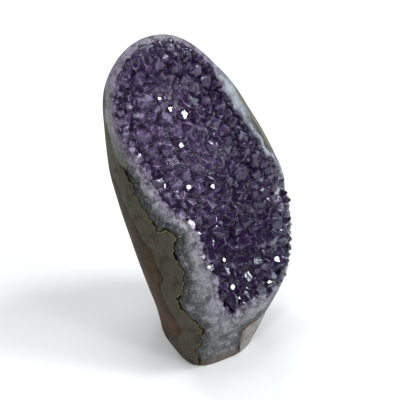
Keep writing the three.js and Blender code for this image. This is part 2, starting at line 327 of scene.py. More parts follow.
def polish_waver(points, angle):
    """The slight unevenness of a skin ground by hand, always inwards."""
    x, y, z = points.T
    waver = np.sin(0.21 * x + 0.13 * z) + np.sin(0.17 * y - 0.19 * z + 1) + np.sin(0.31 * z + 0.11 * x)
    return -GROUND_OFF - 0.05 * waver


def edge_distance(points, piece, one, other):
    """The distance of points to the line where a piece's faces of two marks meet, in millimetres."""
    mesh = piece.data
    marks = np.empty(len(mesh.polygons), int)
    mesh.attributes["cut"].data.foreach_get("value", marks)
    touched = {one: np.zeros(len(mesh.vertices), bool), other: np.zeros(len(mesh.vertices), bool)}
    for polygon, mark in zip(mesh.polygons, marks):
        if mark in touched:
            touched[mark][list(polygon.vertices)] = True
    line = get_points(piece)[touched[one] & touched[other]]
    tree = KDTree(len(line))
    for i, point in enumerate(line):
        tree.insert(point, i)
    tree.balance()
    return np.array([tree.find(point)[2] for point in points]) / MM


def give_values(piece, name, values, domain="POINT"):
    """Gives the points, faces or corners of a piece numbers that its material reads."""
    marks = piece.data.attributes.new(name, "FLOAT", domain)
    marks.data.foreach_set("value", np.asarray(values, np.float32))


# The marks on the faces say what made them: 1 the polished skin, 2 the seam and 3 the well.
basalt = stone_form(STONE_ROWS, STONE_COLUMNS, polish_waver)
in_front = front_layer(SEAM_LINE, SEAM_POINTS, seam_surface, crinkle, 2)
basalt = combine(basalt, in_front, "DIFFERENCE")
basalt.name = "basalt_matrix_stone"
give_values(basalt, "seam_distance", edge_distance(get_points(basalt), basalt, 1, 2))


class Wire:
    """A value in a material. Sums and products of wires add Math nodes."""

    def __init__(self, finish, socket):
        self.finish = finish
        self.socket = socket

    def math(self, operation, *values):
        return self.finish.node("ShaderNodeMath", {"operation": operation}, dict(enumerate(values)))

    def __add__(self, other):
        return self.math("ADD", self, other)

    def __sub__(self, other):
        return self.math("SUBTRACT", self, other)

    def __rsub__(self, other):
        return self.math("SUBTRACT", other, self)

    def __mul__(self, other):
        return self.math("MULTIPLY", self, other)

    __radd__ = __add__
    __rmul__ = __mul__

    def rising(self, low, high):
        """0 below one value, 1 above another, and smooth between them."""
        settings = {"interpolation_type": "SMOOTHSTEP"}
        return self.finish.node("ShaderNodeMapRange", settings, {0: self, 1: low, 2: high, 3: 0.0, 4: 1.0})


class Finish:
    """A material with its shader and the nodes that feed it."""

    def __init__(self, name, **plain):
        self.material = bpy.data.materials.new(name)
        self.material.use_nodes = True
        self.tree = self.material.node_tree
        self.shader = self.tree.nodes["Principled BSDF"]
        self.place = self.node("ShaderNodeTexCoord", {}, {}, "Object")
        for socket, value in plain.items():
            self.shader.inputs[socket.replace("_", " ")].default_value = value

    def node(self, kind, settings, sockets, output=0):
        """Adds a node, sets it, feeds its sockets with values or wires, and gives one output."""
        made = self.tree.nodes.new(kind)
        for name, value in settings.items():
            setattr(made, name, value)
        for key, value in sockets.items():
            if isinstance(value, Wire):
                self.tree.links.new(value.socket, made.inputs[key])
            else:
                made.inputs[key].default_value = value
        return Wire(self, made.outputs[output])

    def noise(self, scale, detail, roughness=0.55, place=None):
        """Cloudy noise, with so many features to a metre."""
        sockets = {"Vector": place or self.place, "Scale": scale, "Detail": detail, "Roughness": roughness}
        return self.node("ShaderNodeTexNoise", {}, sockets, "Fac")

    def cells(self, scale, waver, bend=2.5):
        """Grown-together grains, so many to a metre: each one's tone, and how far its border is."""
        aside = waver * (bend * MM)
        bent = self.node("ShaderNodeVectorMath", {"operation": "ADD"}, {0: self.place, 1: aside}, 0)
        place = {"Vector": bent, "Scale": float(scale)}
        tone = self.node("ShaderNodeTexVoronoi", {}, place, "Color")
        return tone, self.node("ShaderNodeTexVoronoi", {"feature": "DISTANCE_TO_EDGE"}, place, "Distance")

    def value(self, name):
        """A number that the mesh carries."""
        return self.node("ShaderNodeAttribute", {"attribute_name": name}, {}, "Fac")

    def along(self, axis):
        """How far along an axis of the stone a place is, in millimetres."""
        return self.node("ShaderNodeSeparateXYZ", {}, {0: self.place}, axis) * (1 / MM)

    def blend(self, share, first, second):
        """Goes from one colour to another."""
        return self.node("ShaderNodeMix", {"data_type": "RGBA"}, {0: share, 6: first, 7: second}, 2)

    def bump(self, height, distance, strength):
        """A relief so many millimetres deep."""
        sockets = {"Height": height, "Distance": distance * MM, "Strength": strength}
        return self.node("ShaderNodeBump", {}, sockets, "Normal")

    def feed(self, **wires):
        """Feeds the shader's own sockets."""
        for socket, wire in wires.items():
            self.tree.links.new(wire.socket, self.shader.inputs[socket.replace("_", " ")])

    def cloud_over(self, share, **wires):
        """Lays an opaque shader over the clear one."""
        opaque = {socket.replace("_", " "): wire for socket, wire in wires.items()}
        opaque = self.node("ShaderNodeBsdfPrincipled", {}, opaque, "BSDF")
        clear = Wire(self, self.shader.outputs["BSDF"])
        both = self.node("ShaderNodeMixShader", {}, {0: share, 1: clear, 2: opaque}, "Shader")
        self.tree.links.new(both.socket, self.tree.nodes["Material Output"].inputs["Surface"])


def shade(red, green, blue):
    """A colour as seen on a screen, from 0 to 255, turned into light."""
    seen = [part / 255 for part in (red, green, blue)]
    light = [part / 12.92 if part < 0.04045 else ((part + 0.055) / 1.055) ** 2.4 for part in seen]
    return (*light, 1)


def basalt_finish():
    """Ground basalt: a brown body with clouds, streaks and grain, a grey-green strip by the seam that is
    painted lighter as a ground bevel, with painted shade at its edge, and painted light on the right side.
    """
    finish = Finish("basalt", Specular_IOR_Level=0.06)
    seam = finish.value("seam_distance")
    high, across = finish.along("Z"), finish.along("X")
    cloud = finish.noise(38, 5)
    blotches = finish.noise(190, 5, 0.65)
    grain = finish.noise(1000, 4, 0.75)
    sockets = {0: finish.place, 1: (1, 1, 0.25)}
    upright = finish.node("ShaderNodeVectorMath", {"operation": "MULTIPLY"}, sockets, "Vector")
    streaks = finish.noise(420, 4, 0.65, upright)
    colour = finish.blend(cloud.rising(0.35, 0.68), shade(66, 53, 40), shade(40, 30, 21))
    rust = 1 - (high + cloud * 120).rising(75, 125)
    colour = finish.blend(rust * 0.8, colour, shade(84, 54, 40))
    edge = seam + (cloud - 0.5) * 14
    # Painted light: the strip by the seam is lighter, as a ground bevel facet that catches the light; its
    # grey-green is the stone's own.
    grey_strip_and_bevel_light = 1 - edge.rising(8.8, 9.6)
    colour = finish.blend(grey_strip_and_bevel_light * 0.85, colour, shade(80, 80, 70))
    # Painted shade: a dark line where the bevel meets the flank.
    bevel_edge_shade = edge.rising(8.4, 9.4) * (1 - edge.rising(9.4, 11.5))
    colour = finish.blend(bevel_edge_shade * 0.5, colour, shade(24, 19, 14))
    colour = finish.blend(blotches.rising(0.5, 0.66) * 0.35, colour, shade(84, 78, 64))
    colour = finish.blend((1 - blotches).rising(0.5, 0.66) * 0.45, colour, shade(28, 22, 17))
    colour = finish.blend(streaks.rising(0.5, 0.7) * 0.2, colour, shade(72, 66, 52))
    colour = finish.blend((1 - streaks).rising(0.5, 0.7) * 0.2, colour, shade(22, 17, 12))
    colour = finish.blend(grain.rising(0.54, 0.68) * 0.35, colour, shade(108, 102, 86))
    colour = finish.blend((1 - grain).rising(0.54, 0.68) * 0.5, colour, shade(22, 18, 14))
    # At the right it is pale near the foot and grey near the top, in patches with uneven borders. The pale
    # foot is partly the stone's colour and partly painted light; the lighter grey near the top is painted
    # light, where light from the upper right falls.
    near = 1 - (seam + (cloud - 0.5) * 30).rising(9, 17)
    uneven = (cloud - 0.5) * 16
    pale_foot_and_light = (across + uneven).rising(2, 8) * (1 - (high + uneven).rising(30, 42)) * near
    blotched = 0.8 - blotches.rising(0.45, 0.62) * 0.3
    colour = finish.blend(pale_foot_and_light * blotched, colour, shade(158, 154, 155))
    painted_light_side = (across + uneven).rising(22, 32) * (high + uneven).rising(80, 96) * near
    colour = finish.blend(painted_light_side * 0.7, colour, shade(122, 118, 104))
    olive = 1 - (seam + (finish.noise(700, 2) - 0.5) * 0.9).rising(0.12, 0.32)
    colour = finish.blend(olive * 0.9, colour, shade(128, 116, 84))
    rough = 0.45 + grain * 0.16 + cloud * 0.1
    finish.feed(Base_Color=colour, Roughness=rough, Normal=finish.bump(grain, 0.05, 0.5))
    return finish.material


def drop_slivers(piece):
    """Deletes what is loose from the body of a piece: thin slivers that the cuts leave."""
    bpy.ops.object.mode_set(mode="EDIT")
    bpy.ops.mesh.select_all(action="DESELECT")
    bpy.ops.object.mode_set(mode="OBJECT")
    for corner in max(piece.data.polygons, key=lambda polygon: polygon.area).vertices:
        piece.data.vertices[corner].select = True
    bpy.ops.object.mode_set(mode="EDIT")
    bpy.ops.mesh.select_linked()
    bpy.ops.mesh.select_all(action="INVERT")
    bpy.ops.mesh.delete(type="VERT")
    bpy.ops.object.mode_set(mode="OBJECT")


def dress(piece, material, node, smooth_to=40):
    """Gives a finished piece its material, joins it to the root body and hides the solid that it stands
    for.
    """
    pick(piece)
    drop_slivers(piece)
    piece.data.polygons.foreach_set("material_index", np.zeros(len(piece.data.polygons), int))
    piece.data.materials.clear()
    piece.data.materials.append(material)
    bpy.ops.object.shade_smooth_by_angle(angle=math.radians(smooth_to))
    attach(piece, "root")
    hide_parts(node)


dress(basalt, basalt_finish(), "basalt_matrix")

# Agate band
# The layer of cloudy grey agate and sugary quartz between the rock and the crystals, broad at the
# lower end and a narrow polished rim elsewhere. It has grown onto the rock, with a crack between.
AMETHYST_LINE = [
    (-22, 145), (-13, 148), (-4, 148), (4, 145), (10, 140.5), (16, 132), (21, 122), (25, 112),
    (32.5, 102), (41, 93), (51, 83), (56, 66), (52, 52), (42, 41), (30, 33), (19, 30), (12, 31),
    (7, 30.5), (2, 27.5), (-3, 26.5), (-8, 31), (-11.5, 40), (-13, 52), (-15.5, 66), (-18, 74),
    (-25, 80), (-29, 86), (-32.5, 96), (-35, 105), (-36.5, 116), (-35.5, 127), (-30, 138),
]
AMETHYST_DEPTH, AMETHYST_DEPTH_TOP = 12, 4
AMETHYST_POINTS = 300
AGATE_LEAST = 3  # the thinnest that the band gets
CRUST_DEPTH = 5.4
CRACK_DEPTH = 0.25  # how far the band lies before the basalt
WELL_ROWS, WELL_COLUMNS = 60, 90


def amethyst_surface(x, z):
    """The y behind which no amethyst grows."""
    depth = AMETHYST_DEPTH + (AMETHYST_DEPTH_TOP - AMETHYST_DEPTH) * smooth(z, DOME_START, CROWN)
    own = section(z, "front") + depth + wrap(x, z)
    return np.minimum(own, seam_surface(x, z) - AGATE_LEAST)


def floor_depth(points, angle):
    """How deep the agate floor lies below the skin, shallower over the crown and nil at the back."""
    depth = CRUST_DEPTH * dome(np.clip(points[:, 2], 0, HEIGHT)) ** 0.7
    return depth * smooth(-np.sin(angle), -0.6, -0.1)


def floor_shift(raised):
    """The agate floor under the crystals, raised by so much."""
    return lambda points, angle: raised - floor_depth(points, angle)


def ragged(places):
    """The uneven line at which the first crystals stand."""
    return 0.6 * np.sin(places * 0.83) + 0.25 * np.sin(places * 1.9 + 1) + 0.1 * np.sin(places * 3.3 + 2)


agate = stone_form(STONE_ROWS, STONE_COLUMNS, polish_waver)
drawn_in = front_layer(SEAM_LINE, SEAM_POINTS, lambda x, z: seam_surface(x, z) - CRACK_DEPTH,
                       lambda places: crinkle(places) + crack_width(places), 2)
agate = combine(agate, drawn_in, "INTERSECT")
well = front_layer(AMETHYST_LINE, AMETHYST_POINTS, amethyst_surface, ragged, 3)
well = combine(well, stone_form(WELL_ROWS, WELL_COLUMNS, floor_shift(0), 3), "DIFFERENCE")
agate = combine(agate, well, "DIFFERENCE")
agate.name = "agate_band_stone"
give_values(agate, "seam_distance", edge_distance(get_points(agate), agate, 1, 2))
give_values(agate, "crust_distance", edge_distance(get_points(agate), agate, 1, 3))


def rim_mosaic(finish, wisps):
    """The rim, where crystals are cut across: grey below, lilac above with painted shade darkening the
    crown, and blue-grey at the right with a painted sheen of the sky.
    """
    cell, border = finish.cells(300, wisps)
    tone = (cell * 0.6 + wisps * 0.7 - 0.1).rising(0.15, 0.75)
    low = finish.blend(tone, shade(42, 44, 45), shade(146, 144, 151))
    # Painted shade: darker towards the crown.
    crown = finish.along("Z").rising(132, 146) * 0.75
    high = finish.blend(tone, shade(62, 54, 72), shade(142, 134, 152))
    high = finish.blend(crown, high, finish.blend(tone, shade(42, 34, 52), shade(104, 98, 112)))
    # Painted light: the right is pale blue-grey, as a reflection of the sky.
    right = finish.blend(tone, shade(78, 86, 94), shade(164, 172, 178))
    sky_sheen_right = finish.along("X").rising(12, 24) * finish.along("Z").rising(60, 85)
    colour = finish.blend(finish.along("Z").rising(96, 118), low, high)
    colour = finish.blend(sky_sheen_right, colour, right)
    borders = 1 - border.rising(0.02, 0.1)
    return finish.blend(borders * 0.25, colour, shade(180, 174, 188))


def agate_finish():
    """Polished agate: grey clouds and a sugary grain, dark by the seam with painted shade along the crack,
    cut crystals by the crust, and painted shade on the floor under the crystals.
    """
    finish = Finish("agate", Specular_IOR_Level=0.35)
    seam, crust_rim = finish.value("seam_distance"), finish.value("crust_distance")
    high, across = finish.along("Z"), finish.along("X")
    cloud = finish.noise(110, 6, 0.65)
    patches = finish.noise(260, 4, 0.6)
    wisps = finish.noise(620, 5, 0.75)
    sugar = finish.noise(1000, 5, 0.8)
    colour = finish.blend(cloud.rising(0.36, 0.64), shade(42, 44, 44), shade(108, 107, 112))
    colour = finish.blend(patches.rising(0.52, 0.64) * 0.65, colour, shade(150, 148, 156))
    colour = finish.blend((1 - patches).rising(0.54, 0.66) * 0.6, colour, shade(32, 34, 34))
    dark = 1 - (seam + (patches - 0.5) * 9).rising(1.2, 5)
    colour = finish.blend(dark * 0.85, colour, shade(24, 29, 26))
    upper = high.rising(60, 80) * (1 - seam.rising(4, 8))
    upper = upper * (1 - across.rising(-20, 0)) * (1 - high.rising(112, 124))
    colour = finish.blend(upper * 0.6, colour, shade(36, 42, 40))
    grown = (1 - (crust_rim + (cloud - 0.5) * 12).rising(1, 7)) * seam.rising(3, 7)
    rim = high.rising(100, 124)
    colour = finish.blend((grown + rim) * 0.85, colour, rim_mosaic(finish, wisps))
    left_edge = (1 - across.rising(-36, -32)) * high.rising(90, 105)
    colour = finish.blend(left_edge * 0.5, colour, shade(104, 108, 98))
    colour = finish.blend(sugar.rising(0.52, 0.64) * 0.5, colour, shade(166, 168, 174))
    colour = finish.blend((1 - sugar).rising(0.52, 0.64) * 0.5, colour, shade(22, 26, 24))
    # Painted shade: a dark brown band along the crack by the seam.
    crack_shade = 1 - (seam + (sugar - 0.5) * 1.5).rising(0.3, 1.2)
    colour = finish.blend(crack_shade * 0.8, colour, shade(34, 27, 15))
    foot = 1 - (high + cloud * 6).rising(4, 9)
    colour = finish.blend(foot * 0.7, colour, shade(98, 78, 62))
    # Painted shade: the floor under the crystals is dark violet, as it lies in their shade.
    shaded_well = finish.value("cut").rising(2.4, 2.6)
    colour = finish.blend(shaded_well, colour, shade(34, 22, 54))
    rough = 0.3 + sugar * 0.25
    finish.feed(Base_Color=colour, Roughness=rough, Normal=finish.bump(sugar, 0.06, 0.5))
    return finish.material


dress(agate, agate_finish(), "agate_band")

# Amethyst crystals
# The crust of short quartz points, grown together on the agate, so it is one body. Each is a
# six-sided prism under a pyramid of three broad and three narrow faces. The rim is ground level.
LID_RISE, LID_RUN = 4, 9  # the most that tips stand above the skin, and how far in they do so
CROWN_RISE = 1.8  # how much further they stand out over the crown
REACH_RIGHT, REACH_TOP = 50.2, 149.8  # no tip passes the stone's own width and height
RIM_WIDTH, RIM_GROWTH = 5, 1.9  # near the rim, shoulders are higher by up to so much
RIM_STEEPNESS, RIM_DEPTH = 0.85, 0.5  # how the crust deepens inwards, and its depth at the rim
KEY_LAMP = (0.75, -0.35, 1.0)  # the way to the lamp that the glints come from
GLINT_SHOULDER = 1.4
# Crystals given one by one: their turn round the stone in degrees, their height on it and their radius.
GLINTS = [
    (269, 120, 3), (261, 123.6, 1.6), (257, 109, 1.6), (251, 92, 1.7), (267, 89.8, 1.6),
    (256, 128.5, 1.2), (259, 44, 1.8), (302, 46.6, 2.1), (295, 37.8, 1.9), (256, 58, 1.3),
]
LARGE_CRYSTALS = [
    (246, 133, 3.2), (293, 128, 4.4), (284, 138, 4), (239, 136, 3.8), (271, 46, 4.4), (282, 52, 4.2),
    (320, 60, 4.2), (321, 50, 4.4), (313, 42, 4.6), (330, 71, 4.2), (326, 41.5, 4.2),
    (338, 73, 3.8), (336, 65.5, 3.8), (281, 118, 4.2), (262, 99, 3.9), (276, 77, 4.3),
]
HOLLOWS = [(292, 102), (298, 100.5), (305, 99), (312, 98), (249, 83), (252, 85.5)]  # turn, height
HOLLOW_DROP, HOLLOW_FROM, HOLLOW_TO = 1.3, 1, 3.5
# The others are drawn: so many tries, the least and the most radius, and their spacing.
SIZES = [(120, 4.4, 5.0, 0.71), (700, 3.8, 4.3, 0.71), (2400, 3.3, 3.7, 0.71)]
SMALL_SIZES = [(3000, 2.4, 3.2, 0.6), (3500, 1.6, 2.3, 0.58), (3000, 1.1, 1.5, 0.6)]
FACE_FROM, FACE_TO = math.pi * 0.93, math.pi * 2.1  # the part of a turn that the crust covers
FACE_FOOT, FACE_TOP = 24, HEIGHT - 0.5
OUTSIDE = 1  # how far outside the rim a crystal may still stand
SLOPE = 1.27  # of the faces of a tip
MOST_TILT, MOST_LEAN = 0.5, 0.34
SHOULDERS = (-0.3, 1.2)
BREADTH, LEAST_RADIUS = 0.85, 0.9  # where there is little room above a seat, a crystal is slimmer
TIP_SHARE, TIP_CUT = 0.85, 0.2  # how high a tip is, and how much of it the grinding takes
SLIMMER, STRAIGHTER = 0.95, 0.9
BROAD_FACES, NARROW_FACES = (-0.12, 0.1), (0.03, 0.4)  # how far up a bar they start
WORN_EDGE, WORN_FROM = 0.06, 2.2  # the crystals above this radius have worn edges
LEAN_FROM, LEAN_TO = 0.1, 1.2
CRUST_ROWS, CRUST_COLUMNS = 140, 200
FEET_RISE, FEET_INSET = 0.7, 0.3  # the feet lie this far above the floor, and below the skin
BEDDED, FLOOR_BEDDED = 0.3, 0.4  # how far the crust is sunk into the agate
amethyst_edge, _ = closed_curve(AMETHYST_LINE, 240)


def depth_in_amethyst(x, z):
    """How far inside the amethyst's line points are, as seen from the front, or outside if below 0."""
    a, b = amethyst_edge, np.roll(amethyst_edge, -1, 0)
    x, z = np.atleast_1d(x)[:, None], np.atleast_1d(z)[:, None]
    nearest = np.min(np.hypot(a[:, 0] - x, a[:, 1] - z), axis=1)
    spans = (a[:, 1] > z) != (b[:, 1] > z)
    drop = np.where(b[:, 1] == a[:, 1], 1, b[:, 1] - a[:, 1])
    left_of = x < a[:, 0] + (b[:, 0] - a[:, 0]) * (z - a[:, 1]) / drop
    inside = np.sum(spans & left_of, axis=1) % 2 == 1
    return np.where(inside, nearest, -nearest)


def crust_room(points, angle):
    """At places of the skin, how deep the crust can be there and how far in from its rim they are."""
    x, y, z = points.T
    normal = skin_normal(angle, np.clip(z, 0, HEIGHT))
    across, _, up = normal.T * 0.5
    nearing = amethyst_surface(x + across, z + up) - amethyst_surface(x - across, z - up)
    behind = (amethyst_surface(x, z) - y) / np.maximum(nearing - normal[:, 1], 0.5)
    margin = np.minimum(depth_in_amethyst(x, z), behind)
    allowed = np.maximum(margin * RIM_STEEPNESS, RIM_DEPTH)
    return np.minimum(floor_depth(points, angle), allowed), margin


def lid(points, margin):
    """How far above the skin the tips may reach: not at the rim, nor where the stone's corner is ground."""
    x, _, z = points.T
    ground = smooth(x, 32, 44) * smooth(z, 58, 66)
    crown = CROWN_RISE * smooth(z, 122, 138) * smooth(margin, -0.5, 2.5)
    rise = (LID_RISE * smooth(margin, 0, LID_RUN) + crown) * (1 - ground)
    within = np.clip(np.minimum(REACH_RIGHT - x, REACH_TOP - z), 0, None)
    return np.minimum(rise, within) - GROUND_OFF


class Draws:
    """Numbers that are the same on every run."""

    FACTOR, RANGE = 16807, 2147483647

    def __init__(self, seed):
        self.state = seed

    def between(self, low, high):
        self.state = self.state * self.FACTOR % self.RANGE
        return low + (high - low) * self.state / self.RANGE


def own_turn(draws):
    """A crystal's tilt, the way it tilts, its turn, the lean of its tip and its shoulder's height."""
    ranges = ((0, MOST_TILT), (0, 2 * math.pi), (0, math.pi / 3), (-MOST_LEAN, MOST_LEAN), SHOULDERS)
    return tuple(draws.between(*ends) for ends in ranges)


def random_spots(draws, tries, least, most):
    """Places on the face, each with a radius and a turn of its own."""
    ranges = ((FACE_FROM, FACE_TO), (FACE_FOOT, FACE_TOP), (least, most))
    return [tuple(draws.between(*ends) for ends in ranges) + own_turn(draws) for _ in range(tries)]


def settle(seats, spots, spacing, always=False, glint=False):
    """Adds the spots that have room to the seats on the agate floor."""
    angle, z, radius, tilt, towards, spin, lean, shoulder = np.array(spots).T
    on_skin, normal = skin(angle, z), skin_normal(angle, z)
    depth, margin = crust_room(on_skin, angle)
    at = on_skin - normal * depth[:, None]
    shoulder = shoulder + RIM_GROWTH * (1 - smooth(margin, 1, RIM_WIDTH))
    hollows = skin(*np.array([(math.radians(turn), height) for turn, height in HOLLOWS]).T)
    to_hollow = np.linalg.norm(on_skin[:, None] - hollows[None], axis=2).min(axis=1)
    shoulder = shoulder - HOLLOW_DROP * (1 - smooth(to_hollow, HOLLOW_FROM, HOLLOW_TO))
    if glint:
        shoulder = np.maximum(shoulder, GLINT_SHOULDER)
    height = lid(on_skin, margin) + depth
    radius = np.minimum(radius, np.maximum(height * BREADTH, LEAST_RADIUS))
    shoulder = np.minimum(shoulder, height - SLOPE * radius * TIP_SHARE + TIP_CUT)
    for i in range(len(spots)):
        if not always:
            if margin[i] < -OUTSIDE:
                continue
            taken = np.array([seat["at"] for seat in seats])
            room = spacing * (np.array([seat["radius"] for seat in seats]) + radius[i])
            if np.any(np.linalg.norm(taken - at[i], axis=1) <= room):
                continue
        seats.append(dict(at=at[i], normal=normal[i], radius=radius[i], tilt=tilt[i], towards=towards[i],
                          spin=spin[i], lean=0 if glint else lean[i], shoulder=shoulder[i], glint=glint))


draws = Draws(20011)
seats = []
for spots, glint in ((GLINTS, True), (LARGE_CRYSTALS, False)):
    spots = [(math.radians(turn), z, r) + own_turn(draws) for turn, z, r in spots]
    settle(seats, spots, 0, always=True, glint=glint)
for tries, least, most, spacing in SIZES:
    settle(seats, random_spots(draws, tries, least, most), spacing)
for seat in seats:
    seat["radius"] *= SLIMMER
    seat["tilt"] *= STRAIGHTER
for tries, least, most, spacing in SMALL_SIZES:
    settle(seats, random_spots(draws, tries, least, most), spacing)


def point_template(name, seed, bevel):
    """One quartz point of radius 1, its shoulder at 0, cut from a six-sided bar by six bisects.

    Its faces are numbered, and those of its worn edges are marked by way of a second material.
    """
    draws = Draws(seed)
    bar = start(bpy.ops.mesh.primitive_cylinder_add, vertices=6, radius=1, depth=5)
    bar.name = name
    bar.data.materials.append(None)
    bar.data.materials.append(None)
    half_side = math.pi / 6
    bpy.ops.object.mode_set(mode="EDIT")
    for k in range(6):
        turn = half_side + k * math.pi / 3 + half_side
        flat = Vector((math.sin(turn), math.cos(turn), 0))
        up = draws.between(*(NARROW_FACES if k % 2 else BROAD_FACES))
        shoulder = flat * math.cos(half_side) + Vector((0, 0, up))
        slant = (flat * SLOPE + Vector((0, 0, 1))).normalized()
        bpy.ops.mesh.select_all(action="SELECT")
        bpy.ops.mesh.bisect(plane_co=shoulder, plane_no=slant, use_fill=True, clear_outer=True)
    bpy.ops.object.mode_set(mode="OBJECT")
    if bevel:
        modifier = bar.modifiers.new("worn edges", "BEVEL")
        modifier.width = bevel
        modifier.segments = 1
        modifier.limit_method = "ANGLE"
        modifier.angle_limit = math.radians(20)
        modifier.material = 1
        bpy.ops.object.modifier_apply(modifier=modifier.name)
    worn = np.empty(len(bar.data.polygons), int)
    bar.data.polygons.foreach_get("material_index", worn)
    face_marks(bar, "worn", worn)
    face_marks(bar, "side", np.arange(1, len(worn) + 1))
    face_marks(bar, "seat", 0)
    bar.data.polygons.foreach_set("material_index", np.zeros_like(worn))
    bar.data.materials.clear()
    return bar


def glint_turn(at, normal):
    """Turns a crystal so that its first face shows the key lamp to the camera."""
    to_camera = (camera_place - at).normalized()
    shown = (Vector(KEY_LAMP).normalized() + to_camera).normalized()
    slant = math.atan(SLOPE)
    beside = (normal - shown * normal.dot(shown)).normalized()
    axis = shown * math.cos(slant) + beside * math.sin(slant)
    flat = (shown - axis * shown.dot(axis)).normalized()
    placed = Matrix((flat, axis.cross(flat), axis)).transposed()
    first = Vector((math.sin(math.pi / 3), math.cos(math.pi / 3), 0))
    own = Matrix((first, Vector((0, 0, 1)).cross(first), (0, 0, 1)))
    return axis, placed @ own


def seat_matrix(seat):
    """Places a template: its axis is tilted from the skin's normal, and it is turned about it."""
    normal = Vector(seat["normal"])
    across = Vector((1, 0, 0)).cross(normal).normalized()
    across.rotate(Quaternion(normal, seat["towards"]))
    axis = normal.copy()
    axis.rotate(Quaternion(across, seat["tilt"]))
    turn = Vector((0, 1, 0)).rotation_difference(axis) @ Quaternion((0, 1, 0), seat["spin"])
    laid_down = Matrix(((1, 0, 0), (0, 0, 1), (0, -1, 0)))
    turn = turn.to_matrix() @ laid_down
    if seat["glint"]:
        axis, turn = glint_turn(Vector(seat["at"]), normal)
    at = Vector(seat["at"]) + axis * seat["shoulder"]
    return Matrix.Translation(at) @ turn.to_4x4() @ Matrix.Scale(seat["radius"], 4)


def union_all(pieces):
    """Joins pieces two by two until one is left."""
    while len(pieces) > 1:
        joined = [combine(a, b, "UNION") for a, b in zip(pieces[::2], pieces[1::2])]
        pieces = joined + (pieces[-1:] if len(pieces) % 2 else [])
    return pieces[0]


coarse = [point_template(f"point_{k}", 31 + 7 * k, 0) for k in range(4)]
fine = [point_template(f"worn_point_{k}", 101 + 9 * k, WORN_EDGE) for k in range(6)]
points = []
for number, seat in enumerate(seats):
    templates = fine if seat["radius"] > WORN_FROM else coarse
    template = templates[number % len(templates)]
    point = template.copy()
    point.data = template.data.copy()
    bpy.context.collection.objects.link(point)
    matrix = seat["matrix"] = np.array(seat_matrix(seat))
    local = get_points(point)
    local[:, 0] += smooth(local[:, 2], LEAN_FROM, LEAN_TO) * seat["lean"]
    set_points(point, (local @ matrix[:3, :3].T + matrix[:3, 3]) * MM)
    own_number = np.full(len(point.data.polygons), number + 1)
    point.data.attributes["seat"].data.foreach_set("value", own_number)
    points.append(point)
for template in coarse + fine:
    bpy.data.objects.remove(template)
crust = union_all(points)


def root_shift(points, angle):
    """The grown-together feet of the crystals, which reach the skin at the rim."""
    return np.minimum(FEET_RISE - crust_room(points, angle)[0], -FEET_INSET)


def lid_shift(points, angle):
    """The form that cuts off what reaches too far, and leaves the rim ground level."""
    return lid(points, crust_room(points, angle)[1])


# The marks are 0 for the crystals' own faces, 1 where ground, 3 for the feet, 4 and 5 for the bed.
crust = combine(crust, stone_form(CRUST_ROWS, CRUST_COLUMNS, root_shift, 3), "UNION")
crust = combine(crust, stone_form(CRUST_ROWS, CRUST_COLUMNS, lid_shift, 1), "INTERSECT")
reach = front_layer(AMETHYST_LINE, AMETHYST_POINTS, lambda x, z: amethyst_surface(x, z) + BEDDED,
                    lambda places: ragged(places) - BEDDED, 4)
crust = combine(crust, reach, "INTERSECT")
crust = combine(crust, stone_form(WELL_ROWS, WELL_COLUMNS, floor_shift(-FLOOR_BEDDED), 5), "DIFFERENCE")
crust.name = "amethyst_crust"


def face_values(piece, name):
    """The whole numbers that the faces of a piece carry."""
    values = np.empty(len(piece.data.polygons), int)
    piece.data.attributes[name].data.foreach_get("value", values)
    return values


def mark_crystals(piece):
    """Gives each face its own hue, and its corners their crystal's tone and their height in it.

    What belongs to no crystal, such as the feet, has a height and tone of its own.
    """
    # The feet's height is set below the crystals', so the painted shade between the crystals darkens them.
    feet_rise, feet_tone = -0.55, 0.5
    hue_count, seat_step, side_step = 997, 61, 17
    seat_of = face_values(piece, "seat")
    totals = np.empty(len(piece.data.polygons), int)
    piece.data.polygons.foreach_get("loop_total", totals)
    corner_vertex = np.empty(len(piece.data.loops), int)
    piece.data.loops.foreach_get("vertex_index", corner_vertex)
    corner_seat = np.repeat(seat_of, totals)
    at = get_points(piece)[corner_vertex] / MM
    rise = np.full(len(at), feet_rise)
    tone = np.full(len(at), feet_tone)
    draws = Draws(777)
    hues = np.array([draws.between(0, 1) for _ in range(hue_count)])
    facet = hues[(seat_of * seat_step + face_values(piece, "side") * side_step) % hue_count]
    glinting = np.array([False] + [seat["glint"] for seat in seats])
    facet[glinting[np.clip(seat_of, 0, len(seats))]] = 0
    give_values(piece, "facet", facet, "FACE")
    for number, seat in enumerate(seats):
        own = draws.between(0, 1)
        mine = corner_seat == number + 1
        if not mine.any():
            continue
        local = (at[mine] - seat["matrix"][:3, 3]) @ np.linalg.inv(seat["matrix"][:3, :3]).T
        rise[mine] = local[:, 2] / SLOPE
        tone[mine] = own
    give_values(piece, "rise", rise, "CORNER")
    give_values(piece, "tone", tone, "CORNER")


mark_crystals(crust)
give_values(crust, "margin", edge_distance(get_points(crust), agate, 1, 3))


